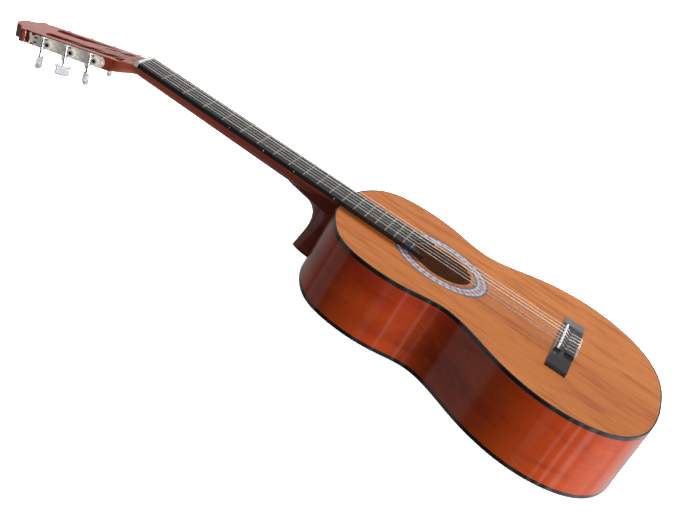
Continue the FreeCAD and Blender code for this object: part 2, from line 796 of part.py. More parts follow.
def make_tab(sign, worm_s, end):
    """Ear folded out from the plate's edge, which carries one end of a worm shaft."""
    root = sign * (HEAD_HALF + PLATE_THICK / 2)
    centre = sign * WORM_X
    v0 = end * PLATE_HALF
    near_root = plate_point(root, worm_s - TAB_HALF, v0)
    near_turn = plate_point(centre, worm_s - TAB_HALF, v0)
    far_turn = plate_point(centre, worm_s + TAB_HALF, v0)
    far_root = plate_point(root, worm_s + TAB_HALF, v0)
    edges = [
        line(near_root, near_turn),
        arc(near_turn, plate_point(sign * TAB_REACH, worm_s, v0), far_turn),
        line(far_turn, far_root),
        line(far_root, near_root),
    ]
    ear = Part.Face(Part.Wire(edges)).extrude(HEAD_V * (-end * TAB_THICK))
    low = plate_point(centre, worm_s, v0 - 3)
    high = plate_point(centre, worm_s, v0 + 3)
    return ear.cut(cylinder(SHAFT_R + RUNNING, low, high))


def make_plate_screws():
    dome_r = 2.6
    dome_sunk = 1.5
    slot_floor = 0.65
    slot_half = 0.3
    face = HEAD_HALF + PLATE_THICK
    screws = []
    for sign in SIDES.values():
        for s in SCREW_S:
            shank = head_cylinder(SCREW_R, sign * SCREW_IN, sign * face, s, AXIS_V)
            ball = Part.makeSphere(dome_r, plate_point(sign * (face - dome_sunk), s, 0))
            x0, x1 = sorted((sign * face, sign * (face + 4)))
            outside = head_box(x0, x1, s - 4, s + 4, AXIS_V - 4, AXIS_V + 4)
            x0, x1 = sorted((sign * (face + slot_floor), sign * (face + 4)))
            slot = head_box(x0, x1, s - 4, s + 4, AXIS_V - slot_half, AXIS_V + slot_half)
            screws.append(fused([shank, ball.common(outside).cut(slot)]))
    return Part.makeCompound(screws)


def make_roller(side, place):
    sign = SIDES[side]
    s = ROLLER_S[place]
    inner = SLOT_IN + SLOT_GAP
    outer = SLOT_OUT - SLOT_GAP
    gear_inner = WORM_X - GEAR_THICK / 2
    pieces = [
        head_cylinder(PIN_R, sign * (SLOT_IN - PIN_DEEP + 0.3), sign * inner, s, AXIS_V),
        head_cylinder(ROLLER_R, sign * inner, sign * outer, s, AXIS_V),
        head_cylinder(SPINDLE_R, sign * outer, sign * gear_inner, s, AXIS_V),
        head_cylinder(PIN_R, sign * gear_inner, sign * (gear_inner + GEAR_THICK), s, AXIS_V),
    ]
    for index in range(6):
        if machine_of(index) != (side, place):
            continue
        radius = STRING_R[index]
        for turn in range(1, 4):
            x = sign * (ROLLER_X[place] - 0.15 - turn * (2 * radius + 0.05))
            ring = Part.makeTorus(ROLLER_R + radius * 0.8, radius, head_point(x, s, AXIS_V), ACROSS)
            pieces.append(ring)
    return fused(pieces)


def make_gear(side, place):
    sign = SIDES[side]
    # radius and distance from the tooth's centreline of a tooth's four corners
    tooth_corners = (
        (GEAR_ROOT_R, -0.62),
        (GEAR_TIP_R, -0.24),
        (GEAR_TIP_R, 0.24),
        (GEAR_ROOT_R, 0.62),
    )
    points = []
    for tooth in range(GEAR_TEETH):
        centre = 2 * math.pi * tooth / GEAR_TEETH
        for radius, offset in tooth_corners:
            angle = centre + offset / radius
            across = radius * math.cos(angle)
            points.append(Vec(across, radius * math.sin(angle), -GEAR_THICK / 2))
    wheel = prism(points, Vec(0, 0, GEAR_THICK))
    wheel = wheel.cut(cylinder(PIN_R, Vec(0, 0, -5), Vec(0, 0, 5)))
    top_r = GEAR_SCREW_R - 0.6
    seat = Vec(0, 0, sign * GEAR_THICK / 2)
    screw = Part.makeCone(GEAR_SCREW_R, top_r, GEAR_SCREW_TALL, seat, Vec(0, 0, sign))
    slot = box(-4, 4, -0.4, 0.4, -0.5, 0.5)
    slot.translate(Vec(0, 0, sign * (GEAR_THICK / 2 + GEAR_SCREW_TALL)))
    slot.rotate(Vec(0, 0, 0), Vec(0, 0, 1), 35.0 + 50.0 * place)
    both = Part.makeCompound([wheel, screw.cut(slot)])
    return placed(both, head_point(sign * WORM_X, ROLLER_S[place], AXIS_V), HEAD_U, HEAD_V, ACROSS)


def make_worm(side, place):
    sign = SIDES[side]
    height = WORM_TURNS * WORM_LEAD
    start = -height / 2
    root = WORM_ROOT_R - 0.25
    base = 0.66
    tip = 0.24
    helix = Part.makeHelix(WORM_LEAD, height, root)
    profile = Part.makePolygon([
        Vec(root, 0, -base),
        Vec(WORM_TIP_R, 0, -tip),
        Vec(WORM_TIP_R, 0, tip),
        Vec(root, 0, base),
        Vec(root, 0, -base),
    ])
    thread = Part.Wire(helix.Edges).makePipeShell([profile], True, True)
    thread.translate(Vec(0, 0, start))
    ends = PLATE_HALF - TAB_THICK - 0.1
    core = cylinder(WORM_ROOT_R, Vec(0, 0, -ends), Vec(0, 0, ends))
    keep = cylinder(WORM_TIP_R + 1, Vec(0, 0, -ends), Vec(0, 0, ends))
    shaft = cylinder(SHAFT_R, Vec(0, 0, BUTTON_TOP - 1.0), Vec(0, 0, PLATE_HALF + 0.9))
    sleeve = cylinder(SLEEVE_R, Vec(0, 0, BUTTON_TOP), Vec(0, 0, -PLATE_HALF - 0.3))
    whole = fused([core, shaft, sleeve]).fuse(thread.common(keep))
    origin = plate_point(sign * WORM_X, ROLLER_S[place] + WORM_OFFSET, 0)
    return placed(whole, origin, HEAD_U * -1.0, ACROSS, HEAD_V)


def button_outline(y, inset):
    """Butterfly outline at one level of the button's thickness, drawn in by the inset."""
    half_wide = BUTTON_WIDE / 2
    across = 1.0 - inset / half_wide
    along = 1.0 - 2.0 * inset / BUTTON_LONG

    def p(x, z):
        return Vec(x * across, y, z * along - inset)

    collar = SLEEVE_R + 0.6

    def half(sign):
        horn = p(sign * (half_wide - 1.7), -0.3)
        cheek = p(sign * (half_wide - 0.3), -3.6)
        lobe = p(sign * (half_wide - 0.5), -9.6)
        foot = p(sign * (half_wide - 4.0), -14.6)
        return [
            line(p(0, 0), p(sign * collar, 0)),
            line(p(sign * collar, 0), p(sign * collar, -2.0)),
            arc(p(sign * collar, -2.0), p(sign * 5.6, -2.6), horn),
            arc(horn, p(sign * half_wide, -1.5), cheek),
            arc(cheek, p(sign * (half_wide - 1.6), -6.6), lobe),
            arc(lobe, p(sign * (half_wide - 0.9), -12.9), foot),
            arc(foot, p(sign * 3.4, -14.4), p(0, -BUTTON_LONG)),
        ]

    return Part.Wire(Part.__sortEdges__(half(1.0) + half(-1.0)))


def make_button(side, place):
    """Butterfly-shaped finger button on the end of a worm shaft."""
    face_y = BUTTON_THICK / 2
    rim_y = face_y - BUTTON_EDGE
    levels = ((-face_y, BUTTON_EDGE), (-rim_y, 0.0), (rim_y, 0.0), (face_y, BUTTON_EDGE))
    soft = Part.makeLoft([button_outline(y, inset) for y, inset in levels], True, True)
    soft = soft.cut(cylinder(SHAFT_R, Vec(0, 0, -1.0), Vec(0, 0, 1)))
    soft.rotate(Vec(0, 0, 0), Vec(0, 0, 1), BUTTON_TURN[side][place])
    origin = plate_point(SIDES[side] * WORM_X, ROLLER_S[place] + WORM_OFFSET, BUTTON_TOP)
    return placed(soft, origin, HEAD_U * -1.0, ACROSS, HEAD_V)


# ---------------------------------------------------------------- resting place
def tipped(point):
    """Point of the guitar frame after the guitar is tipped so that its back is level."""
    c = math.cos(BACK_SLOPE)
    s = math.sin(BACK_SLOPE)
    return Vec(point.x, point.y * c + point.z * s, point.z * c - point.y * s)


LOWEST_TAIL = tipped(Vec(0, TAIL_Y, -DEPTH_TAIL))
HEAD_TIP = tipped(head_point(0, HEAD_LONG, HEAD_FACE))
SHIFT = Vec(0, -(LOWEST_TAIL.y + HEAD_TIP.y) / 2.0, -LOWEST_TAIL.z)


def row_point(point):
    return tipped(point) + SHIFT


def row_direction(direction):
    return tipped(direction)


def to_row(shape):
    return placed(shape, SHIFT, ACROSS, row_direction(Vec(0, 1, 0)), row_direction(Vec(0, 0, 1)))


# ---------------------------------------------------------------- every sub-part
def all_parts():
    parts = {
        "soundboard": make_soundboard(),
        "rosette": make_rosette(),
        "back_plate": make_back_plate(),
        "side_bass_tail": make_side(-1.0, TAIL_Y - 1, WIDEST_Y),
        "side_bass_lower": make_side(-1.0, WIDEST_Y, WAIST_Y),
        "side_bass_upper": make_side(-1.0, WAIST_Y, NECK_JOINT_Y + 1),
        "side_treble_tail": make_side(1.0, TAIL_Y - 1, WIDEST_Y),
        "side_treble_lower": make_side(1.0, WIDEST_Y, WAIST_Y),
        "side_treble_upper": make_side(1.0, WAIST_Y, NECK_JOINT_Y + 1),
        "top_binding": make_top_binding(),
        "back_binding": make_back_binding(),
        "neck_block": make_neck_block(),
        "tail_block": make_tail_block(),
        "linings": make_linings(),
        "top_braces": make_top_braces(),
        "bridge_patch": make_bridge_patch(),
        "back_braces": make_back_braces(),
        "back_seam_strip": make_back_seam_strip(),
        "bridge": make_bridge(),
        "saddle": make_saddle(),
        "neck": make_neck(),
        "heel_cap": make_heel_cap(),
        "headstock": make_headstock(),
        "fingerboard": make_fingerboard(),
        "frets": make_frets(),
        "side_dots": make_side_dots(),
        "nut": make_nut(),
        "plate_screws": make_plate_screws(),
    }
    for index in range(6):
        parts["string_%d" % (6 - index)] = make_string(index)
    for side in SIDES:
        parts["machine_plate_" + side] = make_plate(side)
        for place in range(3):
            name = "%s_%d" % (side, place + 1)
            parts["roller_" + name] = make_roller(side, place)
            parts["gear_" + name] = make_gear(side, place)
            parts["worm_" + name] = make_worm(side, place)
            parts["button_" + name] = make_button(side, place)
    return parts


def main():
    for name, shape in all_parts().items():
        final = to_row(shape)
        if not final.isValid() or final.Volume <= 0:
            print("BAD SHAPE", name, final.isValid(), final.Volume)
        final.exportStep("parts/%s.step" % name)
        print("%-22s solids %2d  volume %10.1f" % (name, len(final.Solids), final.Volume))


main()
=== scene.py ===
import json
import math

import bmesh
import bpy
from mathutils import Matrix, Vector


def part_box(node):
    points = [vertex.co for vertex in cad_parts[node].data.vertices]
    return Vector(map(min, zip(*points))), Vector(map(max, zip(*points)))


# Looks of a classical guitar that lies on its flat back. Metres throughout, in the frame of the
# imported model: X across the guitar (bass side negative), Y from the tail to the head, Z up.

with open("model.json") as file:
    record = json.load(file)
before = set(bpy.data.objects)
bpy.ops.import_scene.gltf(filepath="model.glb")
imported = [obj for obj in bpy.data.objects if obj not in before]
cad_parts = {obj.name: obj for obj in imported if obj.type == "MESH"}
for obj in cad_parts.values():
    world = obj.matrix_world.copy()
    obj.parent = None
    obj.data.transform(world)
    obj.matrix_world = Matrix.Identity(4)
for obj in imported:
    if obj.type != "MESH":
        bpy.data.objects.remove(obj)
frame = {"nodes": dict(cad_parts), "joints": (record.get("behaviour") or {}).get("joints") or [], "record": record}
NODES = frame["nodes"]
JOINTS = {joint["name"]: joint for joint in frame["joints"]}
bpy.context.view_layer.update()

# ---------------------------------------------------------------- places read from the frame
ROSETTE_LOW, ROSETTE_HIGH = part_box("rosette")
HOLE_CENTRE = (ROSETTE_LOW + ROSETTE_HIGH) / 2
ROSETTE_OUT = (ROSETTE_HIGH.x - ROSETTE_LOW.x) / 2
ROSETTE_IN = 0.0510
HOLE_TO_WAIST = 0.040          # the waist lies this far towards the tail
BODY_LOW, BODY_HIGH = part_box("side_bass_lower")
BODY_MIDDLE_Z = (BODY_LOW.z + BODY_HIGH.z) / 2
WAIST_Y = HOLE_CENTRE.y - HOLE_TO_WAIST
TILE_SIZE = 0.0011
RING_BORDER = 0.0030           # fine rings between the rosette's edge and its tiles
SCREW_R = 0.00255              # screw at the centre of each gear, coloured near black as painted shade
SCREW_SOFT_R = 0.0027

# ---------------------------------------------------------------- colours (linear)
SPRUCE = (0.470, 0.132, 0.019, 1.0)
SPRUCE_LIGHT = (0.560, 0.190, 0.036, 1.0)
SPRUCE_STREAK = (0.270, 0.050, 0.009, 1.0)
CHERRY = (0.500, 0.044, 0.006, 1.0)
CHERRY_DEEP = (0.270, 0.017, 0.005, 1.0)
CHERRY_LIGHT = (0.600, 0.085, 0.010, 1.0)
NECK_RED = (0.380, 0.066, 0.036, 1.0)
NECK_DEEP = (0.240, 0.036, 0.020, 1.0)
NECK_LIGHT = (0.470, 0.092, 0.045, 1.0)
RAW_WOOD = (0.600, 0.400, 0.250, 1.0)
RAW_DARK = (0.420, 0.240, 0.130, 1.0)
# painted light: colour of the emission that brightens the inside of the sound box
INNER_PAINTED_LIGHT = (0.900, 0.420, 0.240, 1.0)
BLACK = (0.012, 0.012, 0.013, 1.0)
EBONY = (0.020, 0.020, 0.022, 1.0)
EBONY_PORE = (0.008, 0.008, 0.009, 1.0)
BONE = (0.860, 0.850, 0.800, 1.0)
NICKEL = (0.940, 0.890, 0.810, 1.0)
CHROME = (0.820, 0.830, 0.850, 1.0)
FRET_GOLD = (0.400, 0.340, 0.240, 1.0)
# painted shade: near-black colour of the screw at each gear's centre, standing in for the shade on it
SCREW_PAINTED_SHADE = (0.035, 0.034, 0.030, 1.0)
PEARL = (0.930, 0.935, 0.970, 1.0)
PEARL_SHADE = (0.780, 0.800, 0.890, 1.0)
NYLON = (0.820, 0.790, 0.740, 1.0)
SILVER = (0.780, 0.760, 0.730, 1.0)
TILE_WHITE = (0.700, 0.680, 0.720, 1.0)
TILE_GREY = (0.230, 0.235, 0.280, 1.0)
TILE_RED = (0.280, 0.020, 0.020, 1.0)
TILE_DARK = (0.060, 0.066, 0.085, 1.0)
RING_BLUE = (0.050, 0.058, 0.082, 1.0)
RING_PALE = (0.140, 0.150, 0.195, 1.0)

# ---------------------------------------------------------------- painted light: emission that brightens parts in dim light, and the floor's even glow
INNER_PAINTED_LIGHT_STRENGTH = 0.034
PLATE_PAINTED_LIGHT = 0.17
GEAR_PAINTED_LIGHT = 0.14
NYLON_PAINTED_LIGHT = 0.20
WOUND_PAINTED_LIGHT = 0.07
FLOOR_GLOW = 0.95


# ---------------------------------------------------------------- node helpers
class Shader:
    """A material under construction: one Principled shader and the nodes that feed it."""

    def __init__(self, name, **sockets):
        self.material = bpy.data.materials.new(name)
        self.material.use_nodes = True
        self.tree = self.material.node_tree
        self.tree.nodes.clear()
        self.surface = self.tree.nodes.new("ShaderNodeBsdfPrincipled")
        output = self.tree.nodes.new("ShaderNodeOutputMaterial")
        self.link(self.surface.outputs["BSDF"], output.inputs["Surface"])
        for socket, value in sockets.items():
            self.surface.inputs[socket.replace("_", " ")].default_value = value

    def link(self, source, target):
        self.tree.links.new(source, target)

    def feed(self, socket, source):
        self.link(source, self.surface.inputs[socket])

    def make(self, kind, **settings):
        made = self.tree.nodes.new(kind)
        for key, value in settings.items():
            setattr(made, key, value)
        return made

    def place(self, scale=(1.0, 1.0, 1.0), offset=(0.0, 0.0, 0.0)):
        """The piece's own coordinates, moved by the offset and then stretched."""
        where = self.make("ShaderNodeTexCoord")
        mapping = self.make("ShaderNodeMapping")
        mapping.inputs["Scale"].default_value = scale
        mapping.inputs["Location"].default_value = [a * b for a, b in zip(offset, scale)]
        self.link(where.outputs["Object"], mapping.inputs["Vector"])
        return mapping.outputs["Vector"]

    def noise(self, vector, scale, detail=3.0, roughness=0.55, distortion=0.0):
        made = self.make("ShaderNodeTexNoise")
        made.inputs["Scale"].default_value = scale
        made.inputs["Detail"].default_value = detail
        made.inputs["Roughness"].default_value = roughness
        made.inputs["Distortion"].default_value = distortion
        self.link(vector, made.inputs["Vector"])
        return made.outputs["Fac"]

    def spread(self, value, low, high, to_low=0.0, to_high=1.0):
        """Maps the range low..high to to_low..to_high and keeps within it."""
        made = self.make("ShaderNodeMapRange", clamp=True)
        made.inputs["From Min"].default_value = low
        made.inputs["From Max"].default_value = high
        made.inputs["To Min"].default_value = to_low
        made.inputs["To Max"].default_value = to_high
        self.link(value, made.inputs["Value"])
        return made.outputs["Result"]

    def mix(self, factor, a, b):
        """Colour mix; each of a and b is a colour or another node's output."""
        made = self.make("ShaderNodeMix", data_type="RGBA", blend_type="MIX")
        if isinstance(factor, float):
            made.inputs["Factor"].default_value = factor
        else:
            self.link(factor, made.inputs["Factor"])
        for name, value in (("A", a), ("B", b)):
            socket = [s for s in made.inputs if s.name == name and s.type == "RGBA"][0]
            if isinstance(value, tuple):
                socket.default_value = value
            else:
                self.link(value, socket)
        return [s for s in made.outputs if s.type == "RGBA"][0]

    def math(self, operation, *values):
        made = self.make("ShaderNodeMath", operation=operation)
        for index, value in enumerate(values):
            if isinstance(value, (int, float)):
                made.inputs[index].default_value = value
            else:
                self.link(value, made.inputs[index])
        return made.outputs[0]

    def bump(self, height, distance, before=None):
        made = self.make("ShaderNodeBump")
        made.inputs["Distance"].default_value = distance
        made.inputs["Strength"].default_value = 1.0
        self.link(height, made.inputs["Height"])
        if before is not None:
            self.link(before, made.inputs["Normal"])
        return made.outputs["Normal"]


# ---------------------------------------------------------------- woods
def inner_face(shader):
    """1 on the faces that look into the sound box, 0 on those that look out of it."""
    geometry = shader.make("ShaderNodeNewGeometry")
    outward = shader.make("ShaderNodeVectorMath", operation="DOT_PRODUCT")
    shader.link(geometry.outputs["True Normal"], outward.inputs[0])
    shader.link(shader.place(offset=(0.0, -WAIST_Y, -BODY_MIDDLE_Z)), outward.inputs[1])
    return shader.math("LESS_THAN", outward.outputs["Value"], 0.0)


def lacquered_wood(name, base, deep, light, along, gloss, fine=420.0, streak=46.0, hollow=False):
    """Glossy lacquer over wood whose grain runs along one axis (a vector with a small entry)."""
    shader = Shader(name, Roughness=0.42, Coat_Weight=1.0, Coat_Roughness=gloss, Coat_IOR=1.45,
                    Specular_IOR_Level=0.15)
    place = shader.place(scale=along)
    mottle = shader.noise(place, 9.0, detail=4.0, distortion=0.8)
    streaks = shader.noise(place, streak, detail=5.0, roughness=0.62, distortion=0.35)
    pores = shader.noise(place, fine, detail=2.0)
    tone = shader.mix(shader.spread(mottle, 0.36, 0.66), base, light)
    tone = shader.mix(shader.spread(streaks, 0.48, 0.74, 0.0, 0.85), tone, deep)
    tone = shader.mix(shader.spread(pores, 0.55, 0.75, 0.0, 0.32), tone, deep)
    # Inside the sound box the wood is bare, and its faces also get painted light: a faint brown emission that
    # brightens the inside of the box.
    if hollow:
        inner = inner_face(shader)
        tone = shader.mix(inner, tone, shader.mix(streaks, RAW_WOOD, RAW_DARK))
        shader.surface.inputs["Emission Color"].default_value = INNER_PAINTED_LIGHT
        shader.feed("Emission Strength", shader.math("MULTIPLY", inner, INNER_PAINTED_LIGHT_STRENGTH))
    shader.feed("Base Color", tone)
    shader.feed("Roughness", shader.spread(streaks, 0.3, 0.7, 0.36, 0.50))
    ripple = shader.noise(place, 16.0, detail=1.0)
    normal = shader.bump(ripple, 0.0006)
    shader.feed("Coat Normal", shader.bump(pores, 0.00002, before=normal))
    shader.feed("Normal", shader.bump(pores, 0.00008))
    return shader.material


def raw_wood():
    shader = Shader("raw_wood", Roughness=0.8)
    place = shader.place(scale=(1.0, 0.12, 1.0))
    grain = shader.noise(place, 160.0, detail=4.0)
    shader.feed("Base Color", shader.mix(shader.spread(grain, 0.35, 0.7), RAW_WOOD, RAW_DARK))
    shader.feed("Normal", shader.bump(grain, 0.0001))
    return shader.material


def dark_wood(name, roughness, coat, along):
    """Black-stained wood with fine open pores along the board."""
    shader = Shader(name, Roughness=roughness, Coat_Weight=coat, Coat_Roughness=0.08)
    place = shader.place(scale=along)
    pores = shader.noise(place, 900.0, detail=3.0, roughness=0.7)
    cloud = shader.noise(place, 60.0, detail=2.0)
    shader.feed("Base Color", shader.mix(shader.spread(pores, 0.52, 0.66), EBONY, EBONY_PORE))
    shader.feed("Roughness", shader.spread(cloud, 0.3, 0.7, roughness - 0.06, roughness + 0.08))
    shader.feed("Normal", shader.bump(pores, 0.00004))
    return shader.material


# ---------------------------------------------------------------- plastics and metals
def gloss_black():
    shader = Shader("black_binding", Coat_Weight=0.6, Coat_Roughness=0.04)
    place = shader.place()
    smears = shader.noise(place, 70.0, detail=3.0)
    shader.feed("Base Color", shader.mix(shader.spread(smears, 0.4, 0.7), BLACK, EBONY))
    shader.feed("Roughness", shader.spread(smears, 0.3, 0.7, 0.14, 0.28))
    shader.feed("Normal", shader.bump(shader.noise(place, 240.0), 0.00003))
    return shader.material


def bone():
    shader = Shader("bone_white", Roughness=0.3, Subsurface_Weight=0.12, Subsurface_Scale=0.002,
                    Coat_Weight=0.4, Coat_Roughness=0.1)
    place = shader.place()
    veins = shader.noise(place, 300.0, detail=3.0)
    shader.feed("Base Color", shader.mix(shader.spread(veins, 0.45, 0.75, 0.0, 0.5), BONE, NYLON))
    shader.feed("Normal", shader.bump(veins, 0.00002))
    return shader.material


def metal(name, colour, roughness, worn, metallic):
    """Metal whose polish varies from place to place, slightly duller in random patches."""
    shader = Shader(name, Metallic=metallic)
    place = shader.place()
    patches = shader.noise(place, 220.0, detail=4.0)
    dull = tuple(0.72 * c for c in colour[:3]) + (1.0,)
    shader.feed("Base Color", shader.mix(shader.spread(patches, 0.5, 0.8, 0.0, 0.6), colour, dull))
    shader.feed("Roughness", shader.spread(patches, 0.3, 0.75, roughness, worn))
    shader.feed("Normal", shader.bump(patches, 0.00002))
    return shader.material


def stamped_plate():
    """Satin nickel sheet pressed with a shallow scrolled pattern."""
    # The plate gets painted light: an even nickel-coloured emission that brightens it.
    shader = Shader("nickel_plate", Metallic=0.15, Coat_Weight=0.3,
                    Emission_Color=NICKEL, Emission_Strength=PLATE_PAINTED_LIGHT)
    place = shader.place()
    scroll = shader.make("ShaderNodeTexVoronoi", feature="SMOOTH_F1")
    scroll.inputs["Scale"].default_value = 210.0
    warped = shader.noise(place, 120.0, detail=1.0)
    moved = shader.make("ShaderNodeVectorMath", operation="ADD")
    offsets = shader.make("ShaderNodeVectorMath", operation="SCALE")
    shader.link(warped, offsets.inputs[0])
    offsets.inputs["Scale"].default_value = 0.006
    shader.link(place, moved.inputs[0])
    shader.link(offsets.outputs[0], moved.inputs[1])
    shader.link(moved.outputs[0], scroll.inputs["Vector"])
    rings = shader.math("SINE", shader.math("MULTIPLY", scroll.outputs["Distance"], 16.0))
    grime = shader.noise(place, 90.0, detail=4.0)
    low = tuple(0.55 * c for c in NICKEL[:3]) + (1.0,)
    tone = shader.mix(shader.spread(rings, -0.9, 0.2, 0.55, 0.0), NICKEL, low)
    tone = shader.mix(shader.spread(grime, 0.5, 0.75, 0.0, 0.35), tone, low)
    shader.feed("Base Color", tone)
    shader.feed("Roughness", shader.spread(grime, 0.3, 0.7, 0.32, 0.5))
    shader.feed("Normal", shader.bump(rings, 0.00012))
    return shader.material


def gear_metal(name, axle):
    """Plated gear wheel round the screw that holds it on its axle; the screw is coloured near black as painted
    shade.
    """
    shader = Shader(name, Metallic=0.25, Coat_Weight=0.3, Emission_Color=NICKEL)
    place = shader.place(offset=(0.0, -axle.y, -axle.z))
    distance = shader.make("ShaderNodeVectorMath", operation="LENGTH")
    flat = shader.make("ShaderNodeVectorMath", operation="MULTIPLY")
    flat.inputs[1].default_value = (0.0, 1.0, 1.0)
    shader.link(place, flat.inputs[0])
    shader.link(flat.outputs[0], distance.inputs[0])
    on_wheel = shader.spread(distance.outputs["Value"], SCREW_R, SCREW_SOFT_R)
    turned = shader.noise(place, 500.0, detail=3.0)
    wheel = shader.mix(shader.spread(turned, 0.4, 0.7, 0.0, 0.5), NICKEL, FRET_GOLD)
    # The screw is real, but its near-black colour is painted shade.
    shader.feed("Base Color", shader.mix(on_wheel, SCREW_PAINTED_SHADE, wheel))
    # The wheel gets painted light: an even nickel-coloured emission outside the screw.
    shader.feed("Emission Strength", shader.math("MULTIPLY", on_wheel, GEAR_PAINTED_LIGHT))
    shader.feed("Roughness", shader.spread(turned, 0.3, 0.7, 0.3, 0.45))
    shader.feed("Normal", shader.bump(turned, 0.00002))
    return shader.material


def pearl():
    """Clouded mother-of-pearl plastic."""
    shader = Shader("pearl_button", Roughness=0.35, Transmission_Weight=0.45, IOR=1.3,
                    Coat_Weight=0.8, Coat_Roughness=0.05)
    place = shader.place()
    swirl = shader.noise(place, 190.0, detail=3.0, distortion=1.8)
    veins = shader.noise(place, 420.0, detail=2.0, distortion=2.5)
    tone = shader.mix(shader.spread(swirl, 0.38, 0.66), PEARL, PEARL_SHADE)
    tone = shader.mix(shader.spread(veins, 0.52, 0.62, 0.0, 0.5), tone, BONE)
    shader.feed("Base Color", tone)
    shader.feed("Normal", shader.bump(swirl, 0.00006))
    return shader.material


def pearl_dot():
    shader = Shader("pearl_dot", Roughness=0.25, Coat_Weight=0.5, Coat_Roughness=0.05)
    cloud = shader.noise(shader.place(), 900.0, detail=2.0)
    shader.feed("Base Color", shader.mix(shader.spread(cloud, 0.4, 0.7), PEARL, PEARL_SHADE))
    shader.feed("Normal", shader.bump(cloud, 0.00001))
    return shader.material


def string_plain():
    # The nylon gets painted light: an even emission that brightens the strings.
    shader = Shader("string_nylon", Roughness=0.55, Emission_Color=NYLON,
                    Emission_Strength=NYLON_PAINTED_LIGHT)
    place = shader.place(scale=(1.0, 0.2, 1.0))
    drift = shader.noise(place, 300.0)
    shader.feed("Base Color", shader.mix(shader.spread(drift, 0.4, 0.7), NYLON, BONE))
    return shader.material


def string_wound():
    """Silver-plated wire wound closely round the core."""
    # The winding gets painted light: an even silver emission that brightens the strings.
    shader = Shader("string_wound", Metallic=0.6, Emission_Color=SILVER,
                    Emission_Strength=WOUND_PAINTED_LIGHT)
    place = shader.place()
    wave = shader.make("ShaderNodeTexWave", wave_type="BANDS", bands_direction="Y")
    wave.inputs["Scale"].default_value = 620.0
    shader.link(place, wave.inputs["Vector"])
    tarnish = shader.noise(place, 60.0, detail=3.0)
    dark = tuple(0.5 * c for c in SILVER[:3]) + (1.0,)
    tone = shader.mix(shader.spread(wave.outputs["Fac"], 0.0, 0.5, 0.6, 0.0), SILVER, dark)
    shader.feed("Base Color", tone)
    shader.feed("Roughness", shader.spread(tarnish, 0.3, 0.7, 0.36, 0.48))
    shader.feed("Normal", shader.bump(wave.outputs["Fac"], 0.00002))
    return shader.material


def roller_plastic():
    shader = Shader("roller_white", Roughness=0.38, Subsurface_Weight=0.1, Subsurface_Scale=0.002)
    place = shader.place()
    smudge = shader.noise(place, 160.0, detail=3.0)
    shader.feed("Base Color", shader.mix(shader.spread(smudge, 0.45, 0.7, 0.0, 0.6), BONE, NICKEL))
    shader.feed("Normal", shader.bump(smudge, 0.00003))
    return shader.material


# ---------------------------------------------------------------- rosette
def rosette_mosaic():
    """Rings round the sound hole, with a band of small square tiles set in a repeating motif."""
    shader = Shader("rosette_mosaic", Roughness=0.3, Coat_Weight=1.0, Coat_Roughness=0.05)
    place = shader.place(offset=(-HOLE_CENTRE.x, -HOLE_CENTRE.y, 0.0))
    parts = shader.make("ShaderNodeSeparateXYZ")
    shader.link(place, parts.inputs[0])
    x, y = parts.outputs["X"], parts.outputs["Y"]
    squares = shader.math("ADD", shader.math("MULTIPLY", x, x), shader.math("MULTIPLY", y, y))
    radius = shader.math("SQRT", squares)
    angle = shader.math("ARCTAN2", y, x)

    band_in = ROSETTE_IN + RING_BORDER
    rows = 13
    motif_tiles = 9
    motifs = round(2.0 * math.pi * (band_in + rows * TILE_SIZE / 2) / (motif_tiles * TILE_SIZE))
    turn = shader.math("MULTIPLY", angle, motifs * motif_tiles / (2.0 * math.pi))
    column = shader.math("FLOOR", shader.math("FLOORED_MODULO", turn, motif_tiles))
    across = shader.math("ABSOLUTE", shader.math("SUBTRACT", column, (motif_tiles - 1) / 2))
    depth = shader.math("DIVIDE", shader.math("SUBTRACT", radius, band_in), TILE_SIZE)
    row = shader.math("FLOOR", depth)
    height = shader.math("ABSOLUTE", shader.math("SUBTRACT", row, (rows - 1) / 2))
    diamond = shader.math("ADD", across, height)

    def inside(value, low, high):
        return shader.math("MULTIPLY", shader.math("GREATER_THAN", value, low),
                           shader.math("LESS_THAN", value, high))

    parity = shader.math("FLOORED_MODULO", shader.math("ADD", row, column), 2.0)
    tone = shader.mix(shader.math("MULTIPLY", parity, 0.22), TILE_WHITE, TILE_GREY)
    tone = shader.mix(inside(diamond, -0.5, 2.5), tone, TILE_RED)
    tone = shader.mix(inside(diamond, 3.5, 4.5), tone, TILE_RED)
    tone = shader.mix(inside(diamond, 5.5, 6.5), tone, TILE_GREY)
    corner = inside(diamond, 7.5, 8.5)
    tone = shader.mix(shader.math("MULTIPLY", corner, parity), tone, TILE_RED)
    tone = shader.mix(inside(height, 5.5, 6.5), tone, TILE_GREY)
    joint_turn = shader.math("FRACT", turn)
    joint_depth = shader.math("FRACT", depth)
    grout = shader.math("MAXIMUM", shader.math("LESS_THAN", joint_turn, 0.08),
                        shader.math("LESS_THAN", joint_depth, 0.08))
    tone = shader.mix(shader.math("MULTIPLY", grout, 0.30), tone, TILE_DARK)

    fine = shader.math("FRACT", shader.math("MULTIPLY", radius, 1.0 / TILE_SIZE))
    lines = shader.mix(shader.math("LESS_THAN", fine, 0.45), RING_PALE, RING_BLUE)
    band_out = band_in + rows * TILE_SIZE
    outside = shader.math("MAXIMUM", shader.math("LESS_THAN", radius, band_in),
                          shader.math("GREATER_THAN", radius, band_out))
    tone = shader.mix(outside, tone, lines)
    for edge, width in ((ROSETTE_IN, 0.0006), (band_in, 0.00035), (band_out, 0.00035),
                        (ROSETTE_OUT, 0.0007)):
        near = shader.math("ABSOLUTE", shader.math("SUBTRACT", radius, edge))
        tone = shader.mix(shader.math("LESS_THAN", near, width), tone, TILE_DARK)
    shader.feed("Base Color", tone)
    return shader.material


